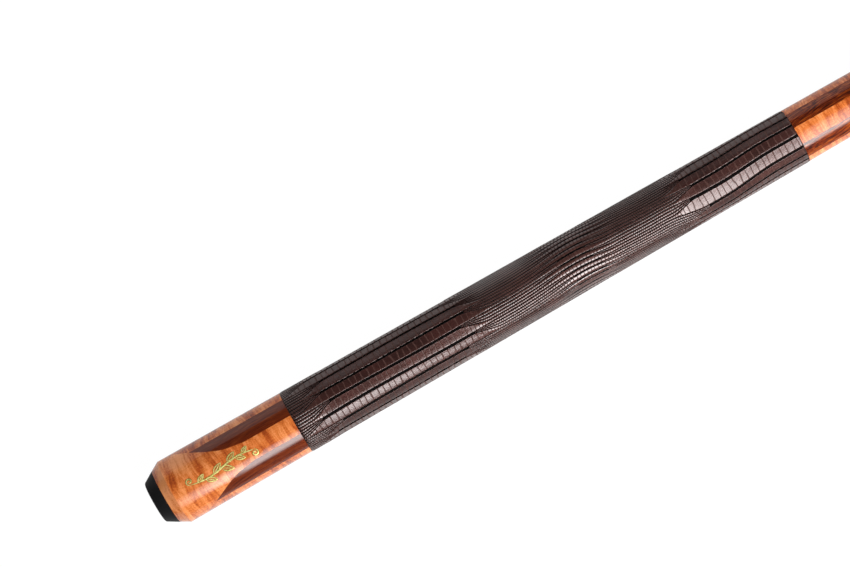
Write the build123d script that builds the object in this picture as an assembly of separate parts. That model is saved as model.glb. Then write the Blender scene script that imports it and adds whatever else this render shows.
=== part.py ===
from build123d import *
import os
from math import cos, sin, radians, sqrt, hypot

# A two-piece pool cue at its real size, in millimetres. It lies along +X with +Z up.
# The origin is the centre of the bumper's flat face, and the butt's axis is the X axis.
# Angles round the cue are measured from +Z, so the maple panel at 0 degrees faces straight up.

# ---- The butt ----
butt_length = 736.6            # bumper face to joint face, 29 in
rear_dia = 32.14               # the taper line, carried back to the bumper face
joint_dia = 20.6               # the taper line at the joint face
bumper_height = 5.9            # rubber that stands out behind the wood
rear_edge_dia = 27.1           # wood's rear face, where the rubber meets it
rear_chamfer_length = 4.3      # cone from that face up to the taper line
sleeve_length = 69.0           # wood between the bumper and the wrap
wrap_length = 266.2
wrap_thickness = 1.0           # skived leather
wrap_stands_proud = 0.05       # leather above the lacquer, on the radius
collar_thickness = 2.2
collar_dia = 20.2

# ---- Spliced wedges of maple and rosewood ----
panels = 5                     # maple panels, with as many rosewood stripes between them
tenon_dia = 19.05              # handle's tenon, which the sleeve's wedges are glued round
forearm_core_dia = 14.3        # dowel, which the forearm's wedges are glued round
rear_cut_radius = 37.0         # curved cut that ends the stripes at the butt
rear_cut_slope = 3.0           # degrees: the shallow run from that curve towards the surface
rear_cut_step = 50.0           # wood's rear face to the square shoulder that ends the cut
rear_cut_step_depth = 0.4      # of that shoulder, below the surface
rear_stripe_tip = 19.6         # wood's rear face to the stripes' points
front_cut_radius = 15.0        # curved cut that ends the stripes at the joint
front_cut_step = 16.4          # square shoulder of that cut, from the wood's front face
front_cut_step_angle = 21.0    # degrees from the panel's middle where the shoulder ends
front_stripe_tip = 7.3         # wood's front face to the stripes' points

# ---- Bumper, weight bolt and screws ----
bumper_face_dia = 20.0         # flat rubber face, before its edge is rounded
bumper_edge_rounding = 1.5
stem_dia = 11.6
stem_length = 19.0
stem_ribs = 2
stem_rib_pitch = 8.0
stem_rib_length = 2.6
channel_dia = 12.7             # weight channel behind the bumper, 1/2 in
channel_depth = 119.0          # from the wood's rear face
fit_clearance = 0.05           # running clearance on the radius of what slides
weight_length = 63.5
weight_chamfer = 1.2
hex_across_flats = 6.35        # 1/4 in key
hex_depth = 10.0
screw_dia = 7.94               # 5/16 in screw that joins the handle to the forearm
screw_length = 64.0
pin_dia = 9.52                 # 3/8 in joint pin
pin_seat = 38.0                # length glued into the forearm's core
pin_reach = 33.0               # length that stands out of the joint face
pin_nose_length = 2.4
pin_nose_dia = 6.2

# ---- The shaft ----
shaft_length = 736.6           # joint face to the crown of the tip, 29 in
shaft_base_dia = 20.45
shaft_base_length = 60.0       # parallel stretch ahead of the joint
shaft_front_dia = 12.6
shaft_front_length = 300.0     # parallel stretch behind the ferrule
shaft_bore_dia = 9.2           # straight, left by the mandrel that the tube is wound on
insert_dia = 12.7
insert_length = 40.0
insert_bore_depth = 36.0
ferrule_length = 9.0
ferrule_tenon_length = 10.0
pad_thickness = 0.8
tip_dia = 12.5
tip_side = 4.2                 # leather below the crown
tip_crown_radius = 10.6        # a nickel's curve

# ---- Places worked out from the sizes above ----
rear_face = bumper_height
wrap_start = rear_face + sleeve_length
wrap_end = wrap_start + wrap_length
wood_end = butt_length - collar_thickness
taper = (rear_dia - joint_dia) / 2 / butt_length
panel_angle = 360 / panels
wedge_angle = panel_angle / 2
stripe_far_edge = wedge_angle * 1.5
channel_end = rear_face + channel_depth
weight_front = channel_end
weight_rear = weight_front - weight_length
tip_crown = tip_crown_radius - sqrt(tip_crown_radius**2 - (tip_dia / 2) ** 2)
tip_base = butt_length + shaft_length - tip_crown - tip_side
pad_base = tip_base - pad_thickness
ferrule_base = pad_base - ferrule_length
insert_end = butt_length + insert_length
far = rear_dia                 # well outside the cue


def radius_at(x):
    """The butt's outer radius on its straight taper, x from the bumper's face."""
    return rear_dia / 2 - taper * x


def turned(edges):
    """A solid of revolution about the cue's axis, from the edges of half its section."""
    return revolve(make_face(Wire(edges)), Axis.X)


def turned_points(*points):
    """A turned solid whose half section has straight sides through points (x, radius)."""
    return turned(Polyline(*points, close=True).edges())


def rod(start, end, diameter):
    """A plain round bar on the cue's axis."""
    return turned_points((start, 0), (start, diameter / 2), (end, diameter / 2), (end, 0))


def prism_across(upper_edges):
    """A shape drawn in the XZ plane by its upper half, carried along Y right through the cue."""
    upper = make_face(Wire(upper_edges))
    return extrude(Plane.XZ * (upper + mirror(upper, Plane.XZ)), amount=far, both=True)


def pie_slice(middle, start, end):
    """The space inside one wedge: a triangle from the axis, carried from start to end."""
    corners = [(0, 0)]
    for side in (-0.5, 0.5):
        angle = radians(middle + side * wedge_angle)
        corners.append((2 * far * sin(angle), 2 * far * cos(angle)))
    return extrude(Plane.YZ.offset(start) * make_face(Polyline(*corners, close=True)), amount=end - start)


def sleeve_blank():
    """The sleeve's outer form over the tenon, its rear end a cone that carries on the bumper's."""
    bore, shoulder = tenon_dia / 2, rear_face + rear_chamfer_length
    return turned_points(
        (rear_face, bore), (rear_face, rear_edge_dia / 2), (shoulder, radius_at(shoulder)),
        (wrap_start, radius_at(wrap_start)), (wrap_start, bore),
    )


def forearm_blank():
    """The forearm's outer form over its core."""
    bore = forearm_core_dia / 2
    return turned_points(
        (wrap_end, bore), (wrap_end, radius_at(wrap_end)), (wood_end, radius_at(wood_end)), (wood_end, bore)
    )


def rear_tongue():
    """What the cut at the butt leaves of the striped blank: a tongue with two curved sides.

    Each side is an arc that rises from the axis through the height of the stripes' points, then a
    shallow straight run, tangent to that arc, and last a square shoulder out to the surface."""
    slope = radians(rear_cut_slope)
    along, inward = (cos(slope), sin(slope)), (sin(slope), -cos(slope))
    step_x = rear_face + rear_cut_step
    leave = (step_x, radius_at(step_x) - rear_cut_step_depth)
    tip_x = rear_face + rear_stripe_tip
    tip = (tip_x, radius_at(tip_x) * cos(radians(stripe_far_edge)))
    w = [tip[i] - leave[i] - rear_cut_radius * inward[i] for i in (0, 1)]
    back = w[0] * along[0] + w[1] * along[1]
    reach = -back - sqrt(back**2 - w[0] ** 2 - w[1] ** 2 + rear_cut_radius**2)
    tangent = (leave[0] - reach * along[0], leave[1] - reach * along[1])
    centre = [tangent[i] + rear_cut_radius * inward[i] for i in (0, 1)]
    root = (centre[0] - sqrt(rear_cut_radius**2 - centre[1] ** 2), 0)
    return prism_across([
        TangentArc(tangent, root, tangent=(-along[0], -along[1])).edge(),
        *Polyline(tangent, leave, (step_x, far), (wrap_start + far, far), (wrap_start + far, 0), root).edges(),
    ])


def front_tongue():
    """The same at the joint: a square shoulder, then an arc down through the stripes' points."""
    step_x = wood_end - front_cut_step
    step = (step_x, radius_at(step_x) * cos(radians(front_cut_step_angle)))
    tip_x = wood_end - front_stripe_tip
    tip = (tip_x, radius_at(tip_x) * cos(radians(stripe_far_edge)))
    chord = hypot(tip[0] - step[0], tip[1] - step[1])
    drop = sqrt(front_cut_radius**2 - chord**2 / 4)
    centre = (
        (step[0] + tip[0]) / 2 + drop * (tip[1] - step[1]) / chord,
        (step[1] + tip[1]) / 2 - drop * (tip[0] - step[0]) / chord,
    )
    root = (centre[0] + sqrt(front_cut_radius**2 - centre[1] ** 2), 0)
    return prism_across([
        ThreePointArc(step, tip, root).edge(),
        *Polyline(step, (step_x, far), (wrap_end - far, far), (wrap_end - far, 0), root).edges(),
    ])


def spliced(name, blank, tongue, start, end):
    """The wedges of one blank, and the maple end piece whose two prongs clasp them."""
    striped = blank & tongue
    for k in range(panels):
        made[f"{name}_maple_{k + 1}"] = striped & pie_slice(k * panel_angle, start, end)
        made[f"{name}_rosewood_{k + 1}"] = striped & pie_slice((k + 0.5) * panel_angle, start, end)
    made[f"{name}_end_maple"] = blank - tongue


def bumper():
    """Soft rubber: a flat face, a rounded edge, a flared side, and a ribbed stem for the channel."""
    stem, stem_end = stem_dia / 2, rear_face + stem_length
    outline = FilletPolyline(
        (0, 0), (0, bumper_face_dia / 2), (rear_face, rear_edge_dia / 2), (rear_face, stem), (stem_end, stem),
        radius=[bumper_edge_rounding, 0, 0],
    )
    body = turned([*outline.edges(), *Polyline((stem_end, stem), (stem_end, 0), (0, 0)).edges()])
    rib = channel_dia / 2 - fit_clearance
    for k in range(stem_ribs):
        root = rear_face + stem_length - k * stem_rib_pitch
        body += turned_points((root, 0), (root, stem), (root - stem_rib_length, rib), (root - stem_rib_length, 0))
    return body


def weight_bolt():
    """A headless steel screw, bevelled at both ends, with a hexagon socket in its rear end."""
    r, bevel = channel_dia / 2 - fit_clearance, weight_chamfer
    bolt = turned_points(
        (weight_rear, 0), (weight_rear, r - bevel), (weight_rear + bevel, r),
        (weight_front - bevel, r), (weight_front, r - bevel), (weight_front, 0),
    )
    socket = RegularPolygon(hex_across_flats / 2, 6, major_radius=False)
    return bolt - extrude(Plane.YZ.offset(weight_rear) * socket, amount=hex_depth)


def handle():
    """One maple turning: the tenon under the sleeve, and the grip with the wrap's recess."""
    tenon, recess = tenon_dia / 2, wrap_thickness - wrap_stands_proud
    body = turned_points(
        (rear_face, 0), (rear_face, tenon), (wrap_start, tenon),
        (wrap_start, radius_at(wrap_start) - recess), (wrap_end, radius_at(wrap_end) - recess), (wrap_end, 0),
    )
    body -= rod(rear_face, channel_end, channel_dia)
    return body - rod(wrap_end - screw_length / 2, wrap_end, screw_dia)


def leather_wrap():
    """A thin tube of leather, glued into the handle's recess."""
    outer, inner = wrap_stands_proud, wrap_stands_proud - wrap_thickness
    return turned_points(
        (wrap_start, radius_at(wrap_start) + inner), (wrap_start, radius_at(wrap_start) + outer),
        (wrap_end, radius_at(wrap_end) + outer), (wrap_end, radius_at(wrap_end) + inner),
    )


def forearm_core():
    """The dowel through the forearm, bored for the handle's screw and for the joint pin."""
    body = rod(wrap_end, wood_end, forearm_core_dia)
    body -= rod(wrap_end, wrap_end + screw_length / 2, screw_dia)
    return body - rod(butt_length - pin_seat, wood_end, pin_dia)


def joint_collar():
    """A thin polished ring between the forearm and the joint face."""
    ring = rod(wood_end, butt_length, collar_dia)
    return ring - rod(wood_end, butt_length, pin_dia)


def joint_pin():
    """The steel pin that the shaft screws on to, bevelled behind and nosed in front."""
    r, front = pin_dia / 2, butt_length + pin_reach
    return turned_points(
        (butt_length - pin_seat, 0), (butt_length - pin_seat, r), (front - pin_nose_length, r),
        (front, pin_nose_dia / 2), (front, 0),
    )


def shaft_tube():
    """A composite tube: parallel at the joint, a long taper, and parallel again to the ferrule."""
    base, front = shaft_base_dia / 2, shaft_front_dia / 2
    tube = turned_points(
        (butt_length, 0), (butt_length, base), (butt_length + shaft_base_length, base),
        (ferrule_base - shaft_front_length, front), (ferrule_base, front), (ferrule_base, 0),
    )
    return tube - rod(butt_length, ferrule_base, shaft_bore_dia) - rod(butt_length, insert_end, insert_dia)


def foam_core():
    """The light filling between the insert and the ferrule's tenon."""
    return rod(insert_end, ferrule_base - ferrule_tenon_length, shaft_bore_dia)


def shaft_insert():
    """The brass insert that takes the joint pin."""
    insert = rod(butt_length, insert_end, insert_dia)
    return insert - rod(butt_length, butt_length + insert_bore_depth, pin_dia + 2 * fit_clearance)


def ferrule():
    """A short ferrule with a tenon inside the tube."""
    cap = rod(ferrule_base, pad_base, shaft_front_dia)
    return cap + rod(ferrule_base - ferrule_tenon_length, ferrule_base, shaft_bore_dia)


def tip():
    """The leather tip, its side straight and its crown a shallow dome."""
    r, side = tip_dia / 2, tip_base + tip_side
    crown = butt_length + shaft_length
    middle = crown - tip_crown_radius
    lean = radians(15)
    on_dome = (middle + tip_crown_radius * cos(lean), tip_crown_radius * sin(lean))
    return turned([
        Line((tip_base, 0), (tip_base, r)).edge(),
        Line((tip_base, r), (side, r)).edge(),
        ThreePointArc((side, r), on_dome, (crown, 0)).edge(),
        Line((crown, 0), (tip_base, 0)).edge(),
    ])


made = {}
spliced("sleeve", sleeve_blank(), rear_tongue(), rear_face, wrap_start)
spliced("forearm", forearm_blank(), front_tongue(), wrap_end, wood_end)
made["bumper"] = bumper()
made["weight_bolt"] = weight_bolt()
made["handle"] = handle()
made["leather_wrap"] = leather_wrap()
made["handle_screw"] = rod(wrap_end - screw_length / 2, wrap_end + screw_length / 2, screw_dia)
made["forearm_core"] = forearm_core()
made["joint_collar"] = joint_collar()
made["joint_pin"] = joint_pin()
made["shaft_tube"] = shaft_tube()
made["shaft_insert"] = shaft_insert()
made["foam_core"] = foam_core()
made["ferrule"] = ferrule()
made["tip_pad"] = rod(pad_base, tip_base, tip_dia)
made["tip"] = tip()

os.makedirs("parts", exist_ok=True)
for name, solid in made.items():
    export_step(solid, f"parts/{name}.step")
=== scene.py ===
import bpy
import numpy as np
from math import cos, pi, radians, sin
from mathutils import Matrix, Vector


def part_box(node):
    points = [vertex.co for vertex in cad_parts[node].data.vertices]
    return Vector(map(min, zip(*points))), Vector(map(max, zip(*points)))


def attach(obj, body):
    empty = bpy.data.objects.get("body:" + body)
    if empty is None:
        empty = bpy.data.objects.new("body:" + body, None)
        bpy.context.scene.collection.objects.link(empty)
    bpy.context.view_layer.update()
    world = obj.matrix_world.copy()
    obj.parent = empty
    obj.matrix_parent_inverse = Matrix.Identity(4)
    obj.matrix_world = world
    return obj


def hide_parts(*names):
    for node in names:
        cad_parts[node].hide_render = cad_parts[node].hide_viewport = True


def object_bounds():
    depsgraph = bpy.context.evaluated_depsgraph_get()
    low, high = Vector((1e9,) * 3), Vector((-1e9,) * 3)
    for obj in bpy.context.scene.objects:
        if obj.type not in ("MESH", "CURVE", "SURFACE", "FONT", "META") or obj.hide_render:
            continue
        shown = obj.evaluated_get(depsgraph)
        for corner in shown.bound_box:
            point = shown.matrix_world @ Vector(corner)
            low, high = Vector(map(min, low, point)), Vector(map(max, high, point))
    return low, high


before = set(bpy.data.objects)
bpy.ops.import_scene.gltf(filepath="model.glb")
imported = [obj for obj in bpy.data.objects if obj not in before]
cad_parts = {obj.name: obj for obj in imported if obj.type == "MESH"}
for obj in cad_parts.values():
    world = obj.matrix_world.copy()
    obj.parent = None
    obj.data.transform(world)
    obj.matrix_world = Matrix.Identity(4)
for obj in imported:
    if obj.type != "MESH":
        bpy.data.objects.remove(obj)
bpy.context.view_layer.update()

# The cue lies along +X with +Z up, as in the CAD model, and the origin is the middle of the
# bumper's face. Every size below is in metres, and angles round the cue are measured from +Z
# towards +Y.


# ---- Handle: the maple turning inside the butt ----
# One piece of straight, pale maple. Its rear tenon is inside the sleeve and its grip carries the
# leather, so it shows only through the weight channel when the bumper is pulled.

def linear(hex_colour):
    """The linear RGBA of an sRGB hex value: each channel over 255, straight below 0.04045 and a
    2.4 power above."""
    c = np.array([int(hex_colour[i:i + 2], 16) for i in (0, 2, 4)]) / 255
    c = np.where(c > 0.04045, ((c + 0.055) / 1.055) ** 2.4, c / 12.92)
    return (*c.tolist(), 1.0)


def add(tree, kind, inputs=(), **settings):
    """Adds one shader node: inputs are values or sockets by name or number, and settings are its
    own properties. stops sets a colour ramp's (place, colour) pairs."""
    made = tree.nodes.new("ShaderNode" + kind)
    stops = settings.pop("stops", None)
    for name, value in settings.items():
        setattr(made, name, value)
    for name, value in dict(inputs).items():
        if isinstance(value, bpy.types.NodeSocket):
            tree.links.new(value, made.inputs[name])
        else:
            made.inputs[name].default_value = value
    if stops:
        ramp = made.color_ramp.elements
        while len(ramp) < len(stops):
            ramp.new(1)
        for element, (place, colour) in zip(ramp, stops):
            element.position, element.color = place, linear(colour)
    return made


def new_material(name):
    """An empty material and its node tree."""
    made = bpy.data.materials.new(name)
    made.use_nodes = True
    made.node_tree.nodes.clear()
    return made, made.node_tree


def grain(tree, place, marks, detail, roughness=0.5, start=(0, 0, 0)):
    """A fine pattern of marks, such as wood's fibres or a lathe's lines: marks is how many lie on a
    metre along x, y and z, and detail and roughness break them up."""
    spread = add(tree, "Mapping", {"Vector": place, "Scale": marks, "Location": start})
    noise = add(tree, "TexNoise", {
        "Vector": spread.outputs[0], "Scale": 1.0, "Detail": detail, "Roughness": roughness})
    return noise.outputs[0]


def plain_finish(name, marks, detail, tones, gloss, relief=None):
    """A finish whose tone follows one fine pattern of marks: tones are a colour ramp's stops, gloss
    is the surface's own values, and relief is how strong and how deep the marks are."""
    made, tree = new_material(name)
    pattern = grain(tree, add(tree, "TexCoord").outputs["Object"], marks, detail)
    tone = add(tree, "ValToRGB", {0: pattern}, stops=tones)
    surface = add(tree, "BsdfPrincipled", {"Base Color": tone.outputs[0], **gloss})
    if relief:
        bump = add(tree, "Bump", {"Height": pattern, "Strength": relief[0], "Distance": relief[1]})
        tree.links.new(bump.outputs[0], surface.inputs["Normal"])
    add(tree, "OutputMaterial", {0: surface.outputs[0]})
    return made


def wear(material, slot, *names):
    """Puts a material on CAD nodes. The slot argument is not used."""
    for name in names:
        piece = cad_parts[name]
        piece.data.materials.clear()
        piece.data.materials.append(material)


# Bare sanded maple: a dull, even surface with fine lines along the grain.
bare_maple = plain_finish(
    "bare_sanded_maple", (12, 900, 900), 3.0, [(0.3, "c79a66"), (0.7, "e2bf8e")],
    {"Roughness": 0.6}, relief=(0.3, 0.0001))
wear(bare_maple, "core_maple", "handle", "forearm_core")


# ---- Sleeve and forearm: spliced wedges of figured maple and rosewood ----
# Five wedges of curly maple and five of rosewood are glued round a core, turned to one long taper,
# stained amber and lacquered. At each end a curved cut takes the stripes away, and a two-pronged
# piece of the same maple is glued over it.

def lacquered(tree, colour, roughness, figure, strength, depth):
    """Wood under a thick clear lacquer: its own sheen is soft and follows the figure's relief, and
    the coat over it is smooth."""
    bump = add(tree, "Bump", {"Height": figure, "Strength": strength, "Distance": depth})
    surface = add(tree, "BsdfPrincipled", {
        "Base Color": colour, "Roughness": roughness, "Specular IOR Level": 0.12,
        "Normal": bump.outputs[0], "Coat Weight": 1.0, "Coat Roughness": 0.035, "Coat IOR": 1.5})
    add(tree, "OutputMaterial", {0: surface.outputs[0]})


def wedge_place(tree, turn, slide, bends, swing):
    """Object coordinates turned so that a wedge's middle faces up, and slid so that no two match.

    The second set also sways as grain does: its bends, so many to the metre, swing by so much."""
    place = add(tree, "TexCoord").outputs["Object"]
    own = add(tree, "Mapping", {
        "Vector": place, "Rotation": (turn, 0, 0), "Location": slide}).outputs[0]
    drift = add(tree, "TexNoise", {"Vector": own, "Scale": bends, "Detail": 2.0})
    waved = add(tree, "VectorMath", {0: drift.outputs["Color"], "Scale": swing}, operation="SCALE")
    swayed = add(tree, "VectorMath", {0: own, 1: waved.outputs[0]}, operation="ADD")
    return own, swayed.outputs[0]


def curly_maple(name, turn, slide, paler=0.0):
    """Stained curly maple: soft dark bands lie across the grain every 2 to 5 mm, with fine lines
    along it."""
    made, tree = new_material(name)
    place, swayed = wedge_place(tree, turn, slide, 70.0, 0.006)
    curl = grain(tree, swayed, (330, 36, 36), 4.0, 0.7)
    cloud = grain(tree, swayed, (62, 30, 30), 2.0, start=(3, 1, 2))
    fibres = grain(tree, swayed, (60, 2200, 2200), 3.0, 0.6)
    fleck = add(tree, "TexNoise", {"Vector": place, "Scale": 1300.0, "Detail": 2.0})
    clouded = add(tree, "Mix", {"Factor": 0.3, "A": curl, "B": cloud})
    # A darker patch lies 7 mm ahead of the bumper, about 9 mm along the grain and 19 mm across it.
    patch_shape, patch_middle = (2.2, 1, 1), (0.0284, 0.0062, 0.0146)
    whole = add(tree, "TexCoord").outputs["Object"]
    away = add(tree, "Mapping", {"Vector": whole, "Scale": patch_shape})
    far = add(tree, "VectorMath", {0: away.outputs[0], 1: patch_middle}, operation="DISTANCE")
    stain = add(tree, "MapRange", {
        0: far.outputs["Value"], 1: 0.001, 2: 0.0095, 3: paler - 0.14, 4: paler})
    stained = add(tree, "Math", {0: clouded.outputs[0], 1: stain.outputs[0]}, operation="ADD")
    lined = add(tree, "Mix", {"Factor": 0.14, "A": stained.outputs[0], "B": fibres})
    figure = add(tree, "Mix", {"Factor": 0.12, "A": lined.outputs[0], "B": fleck.outputs[0]})
    tone = add(tree, "ValToRGB", {0: figure.outputs[0]}, stops=[
        (0.36, "6c290a"), (0.45, "a84b1a"), (0.51, "ca6d30"), (0.61, "e8955a")])
    lacquered(tree, tone.outputs[0], 0.42, figure.outputs[0], 0.35, 0.0006)
    return made


def rosewood(name, turn, slide):
    """Stained rosewood: red-brown, with long dark streaks about 1 mm apart that swing in and out of
    the face. The sleeve's is dark and even, and the forearm's is lighter with a lively figure."""
    made, tree = new_material(name)
    place, swayed = wedge_place(tree, turn, slide, 24.0, 0.012)
    streaks = grain(tree, swayed, (34, 1300, 1300), 5.0, 0.72)
    pores = grain(tree, swayed, (240, 1900, 1900), 2.0)
    figure = add(tree, "Mix", {"Factor": 0.28, "A": streaks, "B": pores})
    even = add(tree, "ValToRGB", {0: figure.outputs[0]}, stops=[
        (0.32, "2e0a00"), (0.43, "551901"), (0.54, "672503"), (0.67, "7d380f")])
    lively = add(tree, "ValToRGB", {0: figure.outputs[0]}, stops=[
        (0.39, "1c0500"), (0.46, "4c1400"), (0.52, "702600"), (0.61, "964709")])
    along_cue = add(tree, "SeparateXYZ", {0: add(tree, "TexCoord").outputs["Object"]})
    ahead = add(tree, "MapRange", {0: along_cue.outputs[0], 1: 0.1, 2: 0.3, 3: 0.0, 4: 1.0})
    tone = add(tree, "Mix", {
        0: ahead.outputs[0], 6: even.outputs[0], 7: lively.outputs[0]}, data_type="RGBA")
    lacquered(tree, tone.outputs[2], 0.4, figure.outputs[0], 0.2, 0.0004)
    return made


wedge = radians(36)          # five of each wood make ten wedges in a full turn
for k in range(5):
    maple = curly_maple(
        f"stained_curly_maple_{k + 1}", 2 * k * wedge, (0.31 * k + 0.47, 0.017 * k, 0))
    dark = rosewood(
        f"stained_rosewood_{k + 1}", (2 * k + 1) * wedge, (0.23 * k + 0.1, 0.013 * k, 0))
    wear(maple, "figured_maple", f"sleeve_maple_{k + 1}", f"forearm_maple_{k + 1}")
    wear(dark, "rosewood", f"sleeve_rosewood_{k + 1}", f"forearm_rosewood_{k + 1}")
ends = curly_maple("stained_curly_maple_ends", 0, (0.61, 0.23, 0), paler=0.033)
wear(ends, "figured_maple", "sleeve_end_maple", "forearm_end_maple")


# ---- Gold ornament on the sleeve ----
# A leafy spray in gold foil, pressed on the top panel behind the wrap, as long and as wide as such
# an ornament usually is. Its lines are 0.5 to 1.1 mm wide and swell in the middle.

# The wood's taper: its diameters at the bumper's face and at the joint, and the length between.
rear_diameter, joint_diameter, butt_length = 0.03214, 0.0206, 0.7366
taper = (rear_diameter - joint_diameter) / 2 / butt_length
spray_middle, spray_half = 0.036, 0.0165
scroll_radius = 0.0017
# Five rows of points lie across a line: where, as shares of its half width, and how high above the
# lacquer. The middle one is the crown, and the outer two are pressed in.
row_place = np.array([-1, -0.7, 0, 0.7, 1])
row_height = 0.00008 * np.array([-1, 0.2, 1, 0.2, -1])
row_from_crown = [1, 0.8, 0, 0.8, 1]


def stem_at(u):
    """The stem's middle line, u from -1 to 1 along it: one slow wave across the panel."""
    return np.stack([spray_middle + spray_half * u, 0.0011 * np.sin(pi * u) - 0.0002], -1)


def stroke(points, widest):
    """A ribbon along points (x, across) on the sleeve, bent round its taper: its width follows the
    square root of a half sine wave."""
    count, rows = len(points), len(row_place)
    ahead = np.gradient(points, axis=0)
    ahead = ahead / np.linalg.norm(ahead, axis=1, keepdims=True)
    half = widest / 2 * (0.12 + 0.88 * np.sqrt(np.sin(np.linspace(0, pi, count)).clip(0)))
    side = np.stack([-ahead[:, 1], ahead[:, 0]], -1)
    flat = points[:, None] + (half[:, None] * row_place)[..., None] * side[:, None]
    lacquer = rear_diameter / 2 - taper * flat[..., 0]
    radius, angle = lacquer + row_height, flat[..., 1] / lacquer
    where = np.stack([flat[..., 0], radius * np.sin(angle), radius * np.cos(angle)], -1)
    i, j = np.meshgrid(np.arange(count - 1) * rows, np.arange(rows - 1), indexing="ij")
    quads = np.stack([i + j, i + j + rows, i + j + rows + 1, i + j + 1], -1).reshape(-1, 4)
    return where.reshape(-1, 3), quads, np.tile(row_from_crown, count)


def leaf(root_u, side, length):
    """The two edges and the vein of one leaf: its spine leaves the stem at 35 degrees and bends
    forwards as t^2, and its edges bulge as a half sine wave that is fuller near the root."""
    t = np.linspace(0, 1, 18)[:, None]
    lean_way = np.array([cos(radians(35)), side * sin(radians(35))])
    across = np.array([-lean_way[1], lean_way[0]])
    spine = stem_at(np.array(root_u)) + length * (t * lean_way + 0.12 * t**2 * np.array([1, 0]))
    bulge = 0.21 * length * np.sin(pi * t**0.8)
    return spine + bulge * across, spine - bulge * across, spine[3:14]


def curl_at(end):
    """The scroll at one end of the stem: a spiral of one and a quarter turns, which shrinks evenly
    to a quarter of its radius."""
    t = np.linspace(0, 1, 40)
    turn, size = 2.5 * pi * t, scroll_radius * (1 - 0.75 * t)
    start = stem_at(np.array(float(end)))
    outwards, down = size * np.sin(turn), scroll_radius - size * np.cos(turn)
    return np.stack([start[0] + end * outwards, start[1] - end * down], -1)


strokes = [(stem_at(np.linspace(-1, 1, 90)), 0.0015), (curl_at(1), 0.0012), (curl_at(-1), 0.0012)]
for u, side, length in (
        (-0.78, 1, 0.0042), (-0.55, -1, 0.0050), (-0.28, 1, 0.0054), (-0.02, -1, 0.0056),
        (0.20, 1, 0.0052), (0.45, -1, 0.0046), (0.66, 1, 0.0038)):
    strokes += zip(leaf(u, side, length), (0.0011, 0.0011, 0.0007))
points, faces, outward, count = [], [], [], 0
for line, widest in strokes:
    where, quads, from_crown = stroke(line, widest)
    points.append(where)
    faces.append(quads + count)
    outward.append(from_crown)
    count += len(where)
spray_mesh = bpy.data.meshes.new("gold_spray")
spray_mesh.from_pydata(np.concatenate(points).tolist(), [], np.concatenate(faces).tolist())
crown_data = spray_mesh.attributes.new("from_crown", "FLOAT", "POINT").data
crown_data.foreach_set("value", np.concatenate(outward).astype(np.float32))
spray_mesh.shade_smooth()
spray = bpy.data.objects.new("gold_spray", spray_mesh)
bpy.context.scene.collection.objects.link(spray)

# Pressed gold foil: pale yellow on its crown, with painted shade that darkens its edges where they
# are pressed in.
foil, tree = new_material("pressed_gold_foil")
place = add(tree, "TexCoord").outputs["Object"]
mottle = add(tree, "TexNoise", {"Vector": place, "Scale": 1600.0, "Detail": 2.0})
bright = add(tree, "ValToRGB", {0: mottle.outputs[0]}, stops=[(0.35, "b3a23c"), (0.6, "f2e994")])
from_crown = add(tree, "Attribute", attribute_name="from_crown").outputs["Fac"]
# Painted shade: each line's colour darkens to dark olive towards its edges.
painted_edge_shade = add(tree, "MapRange", {0: from_crown, 1: 0.35, 2: 0.75, 3: 0.0, 4: 1.0})
tone = add(tree, "Mix", {
    0: painted_edge_shade.outputs[0], 6: bright.outputs[0], 7: linear("4e3d10")}, data_type="RGBA")
surface = add(tree, "BsdfPrincipled", {
    "Base Color": tone.outputs[2], "Metallic": 0.45, "Roughness": 0.35})
add(tree, "OutputMaterial", {0: surface.outputs[0]})
spray_mesh.materials.append(foil)
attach(spray, "butt")


# ---- Leather wrap: embossed cowhide on the grip ----
# Skived cowhide, stamped with a lizard grain, glued into a recess round the grip with one butt
# joint at the back. Broad rows of scales lie along the cue near both ends, and each row runs out
# into four rows of small beads between them.

wrap_low, wrap_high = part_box("leather_wrap")
wrap_length = wrap_high.x - wrap_low.x
rear_radius = wrap_high.z
scale_rows = 17              # broad rows round the cue, 5.5 mm wide
# Where the grid's columns lie on a scale and on the three parts beside it, as shares of each width.
on_scale = (0, 0.02, 0.045, 0.08, 0.14, 0.5, 0.85, 0.895, 0.915, 0.93, 0.945, 0.965)
columns_on_parts = (on_scale,) + 3 * ((0, 0.16, 0.5, 0.84),)
closed_share = 0.041         # of a row's width, for each of those parts where they close up


def step(x, start, end):
    """A smooth step from 0 at start to 1 at end: 3t^2 - 2t^3."""
    t = np.clip((x - start) / (end - start), 0, 1)
    return t * t * (3 - 2 * t)


def row_shares(s, row):
    """How a row's width is shared, at s along the wrap, between its scale and the three parts
    beside it.

    In the broad zones the scale has nearly all of it, between them the four parts are equal, and
    half way along two of them are wide. Each row changes at its own place."""
    early, late = 0.004 * np.sin(row * 2.4), 0.005 * np.sin(row * 1.7 + 1)
    broad = step(s, 0.004 + early, 0.019 + early) - step(s, 0.085 + late, 0.102 + late)
    broad = broad + step(s, 0.199 - early, 0.214 - early)
    ahead = 0.007 * np.sin(row * 2.9 + 0.4)
    middle = step(s + ahead, 0.126, 0.149) - step(s + ahead, 0.154, 0.176)
    quarter = (1 - broad - middle) / 4
    wide, half = 1 - 3 * closed_share, 0.5 - closed_share
    closed = quarter + (broad + middle) * closed_share
    shares = [
        quarter + broad * wide + middle * half, closed,
        quarter + broad * closed_share + middle * half, closed]
    return np.stack(np.broadcast_arrays(*shares)), broad, middle


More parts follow.
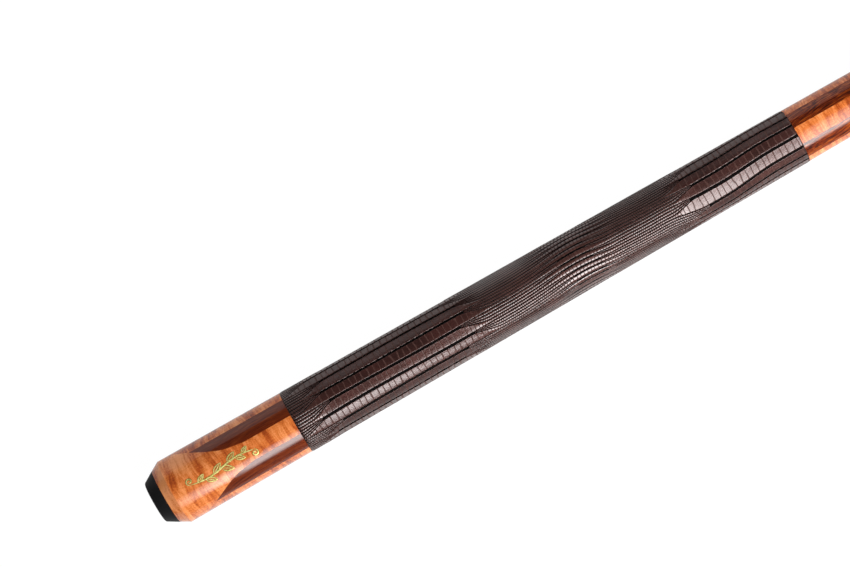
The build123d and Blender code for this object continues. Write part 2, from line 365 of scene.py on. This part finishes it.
def row_angle(s, row):
    """Where a row's groove lies: evenly spaced round the cue, with a few degrees of drift along it.

    The beads' rows bow upwards half way along. Ahead of them two rows of scales lie closer to the
    underside, which leaves a wider row above them, and all the rows turn back a little at the
    end."""
    ahead, last = step(s, 0.195, 0.215), step(s, 0.222, 0.252)
    drift = 6.8 - 4.3 * step(s, 0.09, 0.21) - 2.0 * ahead + 5.3 * last
    drift = drift + 1.1 * np.sin(s * 34 + 0.5) + 0.8 * np.sin(s * 71 + row * 1.9)
    drift = drift + 8.0 * step(s, 0.112, 0.149)
    drift = drift - 5.0 * step(s, 0.149, 0.168) - 3.0 * step(s, 0.168, 0.190)
    for middle_row, reach, turned in (
            (-1.6, 1.3, -9.0 * step(s, 0.19, 0.215) * (1 - 0.35 * step(s, 0.22, 0.262))),
            (-1.2, 1.0, -6.0 * (ahead - 0.8 * last)),
            (3.0, 0.8, 7.0 * (0.6 * ahead + 0.4 * last))):
        apart = (row - middle_row + scale_rows / 2) % scale_rows - scale_rows / 2
        drift = drift + turned * np.exp(-(apart / reach) ** 2)
    return radians(1) * (360 / scale_rows * row + drift)


along = np.linspace(0, wrap_length, 240)
part_index = np.repeat(np.arange(4), [len(p) for p in columns_on_parts])
part_place = np.concatenate(columns_on_parts)
s = along[:, None, None]
row = np.arange(scale_rows)[None, :, None]
shares, broad, middle = row_shares(s, row)
starts = np.cumsum(shares, axis=0) - shares
own_start = np.moveaxis(starts[part_index, :, :, 0], 0, -1)
own_share = np.moveaxis(shares[part_index, :, :, 0], 0, -1)
here = row_angle(s, row)
after = row_angle(s, (row + 1) % scale_rows) + 2 * pi * (row + 1 == scale_rows)
base_radius = rear_radius - taper * s
angle = here + (after - here) * (own_start + own_share * part_place)
part_width = own_share * (after - here) * base_radius

# Scales along a row are 3.1 mm long in the broad zones, and the beads between them 1.1 to 1.9 mm.
# Cells counts them, and rows that lie side by side are out of step.
pitch = 0.0011 + 0.0020 * broad[..., 0] + 0.0008 * middle[..., 0]
cells = np.cumsum(np.gradient(along)[:, None] / pitch, axis=0)[..., None]
cells = cells + 0.37 * row + 0.31 * part_index
# A scale is pressed nearly flat between its grooves, so its middle lies below the round of the cue.
swing = part_width / base_radius * (part_place - 0.5)
flat = 0.85 * base_radius * (np.cos(part_width / base_radius / 2) / np.cos(swing) - 1)


def around(centre, reach):
    """A bell round the cue, 1 at its centre and fading over its reach, both in degrees:
    exp(-(d / reach)^2)."""
    apart = (np.degrees(angle) - centre + 180) % 360 - 180
    return np.exp(-(apart / reach) ** 2)


# Low on the near side and high on the far side, the beads are stamped lightly and fade out.
light = around(-55, 20) * (step(s, 0.088, 0.100) - step(s, 0.185, 0.200))
light = np.maximum(light, around(60, 24) * (step(s, 0.095, 0.105) - step(s, 0.122, 0.134)))
stamped = 1 - 0.85 * light * (1 - broad)
# Each groove is a narrow notch, exp(-(d / width)^4), wider beside a scale's middle than at its
# cross lines. The three parts beside a scale close up to one groove, and half way along the first
# and the third of them are grooves of their own.
beat = np.abs(np.sin(pi * cells))
from_start, to_end = part_place * part_width, (1 - part_place) * part_width
is_scale = part_index == 0
start_width = (0.00009 + 0.00015 * beat) * broad + 0.00018 * (1 - broad)
end_width = (0.00017 + 0.00018 * beat) * broad + 0.00018 * (1 - broad)
end_width = np.where(is_scale, end_width, start_width)
widest = 0.2 * part_width + 0.00001
start_width, end_width = np.minimum(start_width, widest), np.minimum(end_width, widest)
groove = np.maximum(np.exp(-(from_start / start_width) ** 4), np.exp(-(to_end / end_width) ** 4))
groove = np.maximum(groove, step(broad, 0.9, 1.0) * ~is_scale)
groove = np.maximum(groove, 0.6 * step(middle, 0.8, 1.0) * (part_index % 2))
# The grooves are stamped 0.45 mm deep beside a scale, 0.16 mm beside a bead, and 0.26 mm beside the
# wider rows half way along.
depth = 0.00045 * broad + (0.00016 + 0.00010 * middle) * (1 - broad) * stamped
# A scale stands 0.1 mm proud. Its two edges are rounded, one of them stands up in a thin lip, and a
# slight dip lies across it at each cross line. A bead is round between its grooves.
lip = np.exp(-((to_end - 0.00038) / 0.00014) ** 2) * broad * is_scale
rounding = np.exp(-(from_start / 0.00050) ** 2) + np.exp(-(to_end / 0.00060) ** 2)
rounding = rounding * broad * is_scale
cross_dip = (1 - beat) ** 4 * broad
bead = (1 - (2 * part_place - 1) ** 4) * (1 - broad) * stamped
height = flat + 0.00010 * broad + 0.00011 * (lip - rounding + bead) - 0.00004 * cross_dip
height = height - depth * groove
# Both ends are skived down to a thin edge, over 0.9 mm.
edge = step(s, 0, 0.0009) * (1 - step(s, wrap_length - 0.0009, wrap_length))
height = height * edge - 0.00012 * (1 - edge)


def ends_too(values):
    """A value for each point of the rings: the first and last ring take their neighbour's."""
    values = np.broadcast_to(values, (len(along), scale_rows, len(part_place)))
    values = values.reshape(len(along), -1)
    return np.concatenate([values[:1], values, values[-1:]])


def ringed(name, rings, attributes=None):
    """A closed mesh of rings, each joined to the next by quads, and the last to the first.

    Point j of ring i is joined to point j + 1 of it and to point j of ring i + 1, both counted
    round."""
    count, in_ring = rings.shape[:2]
    i, j = np.meshgrid(np.arange(count), np.arange(in_ring), indexing="ij")
    nearer, further, onward = i * in_ring, (i + 1) % count * in_ring, (j + 1) % in_ring
    faces = np.stack([nearer + j, further + j, further + onward, nearer + onward], -1)
    mesh = bpy.data.meshes.new(name)
    mesh.from_pydata(rings.reshape(-1, 3).tolist(), [], faces.reshape(-1, 4).tolist())
    for title, values in (attributes or {}).items():
        data = mesh.attributes.new(title, "FLOAT", "POINT").data
        data.foreach_set("value", np.ascontiguousarray(values, np.float32).ravel())
    mesh.shade_smooth()
    piece = bpy.data.objects.new(name, mesh)
    bpy.context.scene.collection.objects.link(piece)
    return piece


# The rings run over the outside and turn in at both ends, down to the glue side at 0.8 mm.
outside, round_place = ends_too(base_radius + height), ends_too(angle)
outside[[0, -1]] = base_radius[[0, -1], 0] - 0.0008
rings = np.stack([
    ends_too(wrap_low.x + s), outside * np.sin(round_place), outside * np.cos(round_place)], -1)
wrap = ringed("embossed_wrap", rings, {
    "groove": ends_too(groove * stamped), "cells": ends_too(cells), "broad": ends_too(broad),
    "crossed": ends_too(stamped * (1 - 0.45 * middle))})

# Cowhide dyed dark brown and glazed under a hot plate: the scales shine softly. Thin lines cross
# each row at uneven steps, and the hide's own fine wrinkles run over everything.
leather, tree = new_material("glazed_embossed_cowhide")
place = add(tree, "TexCoord").outputs["Object"]
groove_here, cell_here, broad_here, crossed_here = (
    add(tree, "Attribute", attribute_name=title).outputs["Fac"]
    for title in ("groove", "cells", "broad", "crossed"))
wobble = grain(tree, place, (150, 60, 60), 3.0, 0.6)
swung = add(tree, "Math", {0: wobble, 1: 1.1, 2: cell_here}, operation="MULTIPLY_ADD")
tick = add(tree, "Math", {0: swung.outputs[0], 1: 0.5}, operation="PINGPONG")
# A cross line is about 0.5 mm wide, which is 0.2 of a scale's length and 0.4 of a bead's.
line_half = add(tree, "MapRange", {0: broad_here, 1: 0.0, 2: 1.0, 3: 0.2, 4: 0.11})
near_line = add(tree, "Math", {0: tick.outputs[0], 1: line_half.outputs[0]}, operation="DIVIDE")
cross = add(tree, "MapRange", {0: near_line.outputs[0], 1: 0.4, 2: 1.0, 3: crossed_here, 4: 0.0})
wrinkles = grain(tree, place, (900, 1700, 1700), 3.0, 0.6)
patch = add(tree, "TexNoise", {"Vector": place, "Scale": 120.0, "Detail": 3.0})
dark = add(tree, "ValToRGB", {0: patch.outputs[0]}, stops=[(0.35, "1c0d0b"), (0.65, "2f1714")])
rubbed = add(tree, "ValToRGB", {0: patch.outputs[0]}, stops=[(0.35, "2d1915"), (0.65, "422924")])
tone = add(tree, "Mix", {
    0: broad_here, 6: rubbed.outputs[0], 7: dark.outputs[0]}, data_type="RGBA")
# Between the beads the cross lines are painted shade, near black; across the scales they are a
# lighter brown.
line_tone_and_bead_shade = add(tree, "Mix", {
    0: broad_here, 6: linear("0c0706"), 7: linear("3e2d29")}, data_type="RGBA")
crossed = add(tree, "Mix", {
    0: cross.outputs[0], 6: tone.outputs[2], 7: line_tone_and_bead_shade.outputs[2]}, data_type="RGBA")
# Painted shade: the grooves are coloured near black over the dyed hide.
dyed_and_groove_shade = add(tree, "Mix", {
    0: groove_here, 6: crossed.outputs[2], 7: linear("030101")}, data_type="RGBA")
lines = add(tree, "Math", {0: cross.outputs[0], 1: -0.7, 2: wrinkles}, operation="MULTIPLY_ADD")
bump = add(tree, "Bump", {"Height": lines.outputs[0], "Strength": 0.5, "Distance": 0.00014})
# The glaze is worn off the lines, thinner on the broad scales, and rubbed through on the wrinkles.
worn = add(tree, "Math", {0: cross.outputs[0], 1: groove_here}, operation="MAXIMUM")
dull = add(tree, "MapRange", {0: worn.outputs[0], 1: 0.0, 2: 0.6, 3: 0.5, 4: 0.8})
thinner = add(tree, "MapRange", {0: broad_here, 1: 0.0, 2: 1.0, 3: 1.15, 4: 0.64})
rubbed_through = add(tree, "MapRange", {0: wrinkles, 1: 0.36, 2: 0.58, 3: 0.75, 4: 1.05})
patchy = add(tree, "Math", {
    0: thinner.outputs[0], 1: rubbed_through.outputs[0]}, operation="MULTIPLY")
glaze = add(tree, "MapRange", {0: worn.outputs[0], 1: 0.0, 2: 0.6, 3: patchy.outputs[0], 4: 0.1})
# The dyed hide glows brown over a wide angle, its nap is palest where it turns away, and the glaze
# over it mirrors the lights without colour.
surface = add(tree, "BsdfPrincipled", {
    "Base Color": dyed_and_groove_shade.outputs[2], "Roughness": dull.outputs[0], "Specular IOR Level": 0.6,
    "Specular Tint": (1.0, 0.42, 0.35, 1.0), "Normal": bump.outputs[0],
    "Sheen Weight": 0.14, "Sheen Roughness": 0.35, "Sheen Tint": (1.0, 0.78, 0.72, 1.0),
    "Coat Weight": glaze.outputs[0], "Coat Roughness": 0.18, "Coat IOR": 1.85,
    "Coat Normal": bump.outputs[0]})
add(tree, "OutputMaterial", {0: surface.outputs[0]})
wrap.data.materials.append(leather)

# Painted shade: the bottoms of the stamped lines are coloured near black, with a dull finish.
wrap.data.materials.append(plain_finish(
    "painted_shade_in_the_stamped_lines", (1500, 1500, 1500), 2.0, [(0.4, "030202"), (0.7, "0b0605")],
    {"Roughness": 0.9, "Specular IOR Level": 0.1}))
pressed = ends_too(groove)
pressed = pressed + np.roll(pressed, -1, 0)
pressed = (pressed + np.roll(pressed, -1, 1)) / 4        # the mean of each face's four corners
wrap.data.polygons.foreach_set("material_index", (pressed > 0.5).astype(np.int32).ravel())
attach(wrap, "butt")
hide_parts("leather_wrap")


# ---- Joint: the ring at the wood's end, and the pin ----
# A thin ring of turned black phenolic, polished like the lacquer beside it. The steel pin is
# glued into the forearm's core, and its rolled thread runs to a bevelled nose.

# The lathe leaves fine rings on the phenolic, under its polish, and sharper ones on the steel.
phenolic = plain_finish(
    "polished_black_phenolic", (6000, 60, 60), 2.0, [(0.3, "0b0b0c"), (0.7, "161617")],
    {"Roughness": 0.12, "Specular IOR Level": 0.5}, relief=(0.1, 0.00005))
wear(phenolic, "black_phenolic", "joint_collar")
steel = plain_finish(
    "machined_steel", (9000, 200, 200), 2.0, [(0.3, "a9abad"), (0.7, "c9cacb")],
    {"Metallic": 1.0, "Roughness": 0.24}, relief=(0.15, 0.00003))
wear(steel, "steel", "weight_bolt", "handle_screw")

pin_low, pin_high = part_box("joint_pin")
pin_radius = pin_high.z
thread_pitch, thread_depth = 0.00254, 0.0008         # 10 threads to the inch
nose_length, nose_radius = 0.0024, 0.0031
x = np.linspace(pin_low.x, pin_high.x, 300)[:, None]
turn = np.linspace(0, 2 * pi, 48, endpoint=False)[None]
phase = ((x - pin_low.x) / thread_pitch + turn / (2 * pi)) % 1
# A rolled thread: its flanks are one cosine wave, clipped to a narrow flat at the crest. It runs in
# over the first 3 mm, and runs out from 4 to 1 mm before the nose's end.
thread = np.clip(0.62 + 0.62 * np.cos(2 * pi * phase), 0, 1)
fade = step(x, pin_low.x, pin_low.x + 0.003) * (1 - step(x, pin_high.x - 0.004, pin_high.x - 0.001))
bevel = np.clip((x - pin_high.x + nose_length) / nose_length, 0, 1)
threaded = pin_radius - (pin_radius - nose_radius) * bevel - thread_depth * (1 - thread) * fade
shell = np.stack([x + 0 * turn, threaded * np.sin(turn), threaded * np.cos(turn)], -1)
# The ends close on rings far under a micrometre across, round the axis.
shrunk = np.array([[0, 0.00001, 0.00001]])
rear_cap = shell[:1] * shrunk + np.array([pin_low.x, 0, 0])
front_cap = shell[-1:] * shrunk + np.array([pin_high.x, 0, 0])
pin = ringed("threaded_pin", np.concatenate([rear_cap, shell, front_cap]))
pin.data.materials.append(steel)
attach(pin, "butt")
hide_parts("joint_pin")


# ---- Bumper ----
# Moulded black rubber: matt, with the faint bloom and fine grain of the mould. Its ribbed stem
# is a push fit in the weight channel.

rubber, tree = new_material("moulded_black_rubber")
place = add(tree, "TexCoord").outputs["Object"]
mould_grain = add(tree, "TexNoise", {"Vector": place, "Scale": 2600.0, "Detail": 2.0})
bloom = add(tree, "TexNoise", {"Vector": place, "Scale": 140.0, "Detail": 3.0})
tone = add(tree, "ValToRGB", {0: bloom.outputs[0]}, stops=[(0.35, "060608"), (0.65, "0d0d10")])
bump = add(tree, "Bump", {"Height": mould_grain.outputs[0], "Strength": 0.35, "Distance": 0.00012})
surface = add(tree, "BsdfPrincipled", {
    "Base Color": tone.outputs[0], "Roughness": 0.62, "Specular IOR Level": 0.22,
    "Normal": bump.outputs[0]})
add(tree, "OutputMaterial", {0: surface.outputs[0]})
wear(rubber, "black_rubber", "bumper")


# ---- Shaft ----
# A tube wound from carbon fibre and rubbed down to a fine matt black, so that only a hint of the
# winding shows. A brass insert takes the pin, a light foam fills the bore, and a white ferrule
# carries the fibre pad and the pressed leather tip.

# Fibres wound nearly along the tube and rubbed down: a matt black that still shows them faintly.
carbon = plain_finish(
    "matt_wound_carbon_fibre", (90, 2600, 2600), 3.0, [(0.35, "101011"), (0.65, "1c1c1d")],
    {"Roughness": 0.3, "Specular IOR Level": 0.6}, relief=(0.15, 0.00006))
wear(carbon, "black_composite", "shaft_tube")

# Turned brass: a warm yellow metal with the lathe's fine rings round it.
brass = plain_finish(
    "turned_brass", (7000, 200, 200), 2.0, [(0.3, "b98f43"), (0.7, "dcb767")],
    {"Metallic": 1.0, "Roughness": 0.3})
wear(brass, "brass", "shaft_insert")

# Rigid foam has closed cells of about half a millimetre.
foam, tree = new_material("rigid_foam")
place = add(tree, "TexCoord").outputs["Object"]
bubbles = add(tree, "TexVoronoi", {"Vector": place, "Scale": 1800.0}).outputs["Distance"]
tone = add(tree, "ValToRGB", {0: bubbles}, stops=[(0.1, "d8cfae"), (0.6, "efe8cf")])
surface = add(tree, "BsdfPrincipled", {"Base Color": tone.outputs[0], "Roughness": 0.9})
add(tree, "OutputMaterial", {0: surface.outputs[0]})
wear(foam, "foam", "foam_core")

# The ferrule's resin is cast, faintly clouded, and polished.
ferrule = plain_finish(
    "polished_ivory_white_resin", (500, 500, 500), 2.0, [(0.3, "cbc4b2"), (0.7, "d6d0bf")],
    {"Roughness": 0.22, "Specular IOR Level": 0.5})
wear(ferrule, "white_ferrule", "ferrule")

# The tip is pressed from thin layers of hide, 0.6 mm each.
tip_hide, tree = new_material("layered_tip_leather")
place = add(tree, "TexCoord").outputs["Object"]
layer = add(tree, "TexWave", {
    "Vector": place, "Scale": 520.0, "Distortion": 0.7, "Detail": 2.0}, bands_direction="X")
nap = add(tree, "TexNoise", {"Vector": place, "Scale": 1500.0, "Detail": 3.0})
figure = add(tree, "Mix", {0: 0.82, 2: layer.outputs[0], 3: nap.outputs[0]})
tone = add(tree, "ValToRGB", {0: figure.outputs[0]}, stops=[(0.3, "5f3f28"), (0.7, "8d6743")])
bump = add(tree, "Bump", {"Height": figure.outputs[0], "Strength": 0.5, "Distance": 0.0002})
surface = add(tree, "BsdfPrincipled", {
    "Base Color": tone.outputs[0], "Roughness": 0.75, "Specular IOR Level": 0.3,
    "Normal": bump.outputs[0]})
add(tree, "OutputMaterial", {0: surface.outputs[0]})
wear(tip_hide, "tip_leather", "tip")
wear(phenolic, "black_phenolic", "tip_pad")


# ---- Studio: a pale floor, soft lights and the camera ----
# The cue lies on a plain white table. A tall softbox stands on the near side and is brightest at
# its lower edge, a low white card faces it, a dim card stands behind the bumper, and a faint
# overhead light fills the shadows.

# The table reaches 30 m each way, so that no view shows its edge.
table_height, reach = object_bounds()[0].z, 30.0
corners = [(reach * x, reach * y, table_height) for x, y in ((-1, -1), (1, -1), (1, 1), (-1, 1))]
floor_mesh = bpy.data.meshes.new("table_top")
floor_mesh.from_pydata(corners, [], [(0, 1, 2, 3)])
floor = bpy.data.objects.new("table_top", floor_mesh)
bpy.context.scene.collection.objects.link(floor)
# Seen by the camera or in the cue's gloss, the matt table glows white and still keeps a shadow.
white, tree = new_material("white_table")
path = add(tree, "LightPath").outputs
seen = add(tree, "Math", {0: path["Is Camera Ray"], 1: path["Is Glossy Ray"]}, operation="ADD")
shown = add(tree, "Math", {0: seen.outputs[0], 1: path["Is Transmission Ray"]}, operation="ADD")
share = add(tree, "Math", {0: shown.outputs[0], 1: 0.95}, operation="MULTIPLY", use_clamp=True)
matt = add(tree, "BsdfDiffuse", {"Color": linear("ececec")})
# Painted reflection: the cue's gloss sees the table's glow set brighter beside the near softbox and
# dimmer behind the cue, as the lit table would look.
spot = add(tree, "SeparateXYZ", {0: add(tree, "NewGeometry").outputs["Position"]}).outputs
nearer = add(tree, "MapRange", {0: spot[1], 1: -0.20, 2: -0.10, 3: 0.08, 4: 0.95})
behind = add(tree, "MapRange", {0: spot[1], 1: -0.01, 2: 0.01, 3: 1.0, 4: 0.58})
painted_glow_in_gloss = add(tree, "Math", {0: nearer.outputs[0], 1: behind.outputs[0]}, operation="MULTIPLY")
level = add(tree, "Mix", {0: path["Is Glossy Ray"], 2: 1.04, 3: painted_glow_in_gloss.outputs[0]})
glow = add(tree, "Emission", {"Color": (1, 1, 1, 1), "Strength": level.outputs[0]})
both = add(tree, "MixShader", {0: share.outputs[0], 1: matt.outputs[0], 2: glow.outputs[0]})
add(tree, "OutputMaterial", {0: both.outputs[0]})
floor_mesh.materials.append(white)

world = bpy.data.worlds.new("studio_air")
bpy.context.scene.world = world
world.use_nodes = True
tree = world.node_tree
tree.nodes.clear()
# The camera sees a white backdrop. The cue mirrors it dimly near the table, and darker higher up.
way = add(tree, "SeparateXYZ", {0: add(tree, "TexCoord").outputs["Generated"]})
dim = add(tree, "MapRange", {0: way.outputs[2], 1: 0.0, 2: 0.25, 3: 0.25, 4: 0.03})
path = add(tree, "LightPath").outputs
seen = add(tree, "Math", {
    0: path["Is Camera Ray"], 1: path["Is Transmission Ray"]}, operation="MAXIMUM")
level = add(tree, "Mix", {0: seen.outputs[0], 2: dim.outputs[0], 3: 1.04})
air = add(tree, "Background", {0: (1, 1, 1, 1), 1: level.outputs[0]})
add(tree, "OutputWorld", {0: air.outputs[0]})

lean = radians(2.3)          # the cue lies turned by this about its axis, as the camera sees it


def lamp(name, place, size, strength, aim, plan=None):
    """A flat lamp at a place, turned to face aim, with its long side level.

    strength is its power for each square metre, and plan(tree) gives the socket that its
    brightness follows."""
    data = bpy.data.lights.new(name, "AREA")
    data.shape, data.size, data.size_y = "RECTANGLE", *size
    data.energy = strength * data.size * data.size_y
    made = bpy.data.objects.new(name, data)
    made.location = place
    made.rotation_euler = (Vector(aim) - Vector(place)).to_track_quat("-Z", "Y").to_euler()
    made.visible_camera = False
    bpy.context.scene.collection.objects.link(made)
    if plan:
        data.use_nodes = True
        data.node_tree.nodes.clear()
        glow = add(data.node_tree, "Emission", {"Strength": plan(data.node_tree)})
        add(data.node_tree, "OutputLight", {0: glow.outputs[0]})
    return made


def beside(middle_x, angles, distance):
    """The middle and width of a lamp beside the cue, between two angles from the camera's up,
    counted over the cue's far side."""
    low, high = (distance * np.array([sin(a), cos(a)]) for a in np.radians(angles) + lean)
    return (middle_x, *(low + high) / 2), float(np.hypot(*(high - low)))


def softbox_plan(tree):
    """Brightest low down, with a soft lower edge, a fade to nothing at the top, and a soft left
    end.

    Ahead of the wrap its lower edge is higher and the fade is slower, and it is dimmer beside the
    joint."""
    spot = add(tree, "SeparateXYZ", {0: add(tree, "NewGeometry").outputs["Position"]}).outputs
    # The heights where the light starts, is even, is full and has faded, each moving along the cue.
    starts, even, full, gone = (
        add(tree, "MapRange", {0: spot[0], 1: rear, 2: front, 3: at_rear, 4: at_front}).outputs[0]
        for rear, front, at_rear, at_front in (
            (0.0, 0.42, 0.418, 0.436), (0.0, 0.42, 0.533, 0.508),
            (0.25, 0.30, 0.60, 0.57), (0.36, 0.46, 0.735, 0.97)))
    edge = add(tree, "MapRange", {0: spot[2], 1: starts, 2: even, 3: 0.0, 4: 1.0})
    fade = add(tree, "MapRange", {0: spot[2], 1: full, 2: gone, 3: 1.0, 4: 0.0})
    left = add(tree, "MapRange", {
        0: spot[0], 1: -0.065, 2: 0.005, 3: 0.0, 4: 1.0}, interpolation_type="SMOOTHSTEP")
    right = add(tree, "MapRange", {0: spot[0], 1: 0.42, 2: 0.75, 3: 1.0, 4: 0.76})
    level = left
    for part in (right, fade, edge):
        level = add(tree, "Math", {0: level.outputs[0], 1: part.outputs[0]}, operation="MULTIPLY")
    return level.outputs[0]


near_place, near_width = beside(1.0, (-70, 8), 1.0)
lamp("near_softbox", near_place, (2.2, near_width), 30.4, (1.0, 0, 0), plan=softbox_plan)
far_place, far_width = beside(0.75, (89, 64), 1.2)
lamp("far_card", far_place, (2.7, far_width), 1.55, (0.75, 0, 0))
lamp("end_card", (-1.0, -0.1, 0.65), (1.4, 0.9), 1.3, (0, 0, 0))
# The overhead fill lights the shadows alone, and the cue's gloss doesn't show it.
overhead = lamp("overhead_fill", (0.75, 1.3, 0.7), (2.7, 2.0), 1.9, (0.75, 0, 0))
overhead.visible_glossy = False

camera_data = bpy.data.cameras.new("camera")
camera_data.lens, camera_data.sensor_width = 168.9, 36.0
camera_data.clip_start, camera_data.clip_end = 0.05, 100
camera = bpy.data.objects.new("camera", camera_data)
# It looks straight down on the leaning cue, from above a point beside the wrap.
ahead, aside, above = 0.1586, 0.02595, 1.844
camera.location = (
    ahead, aside * cos(lean) + above * sin(lean), above * cos(lean) - aside * sin(lean))
camera.rotation_mode = "ZYX"
camera.rotation_euler = (-lean, 0, radians(-29.82))
bpy.context.scene.collection.objects.link(camera)
bpy.context.scene.camera = camera
bpy.context.scene.view_settings.view_transform = "Standard"
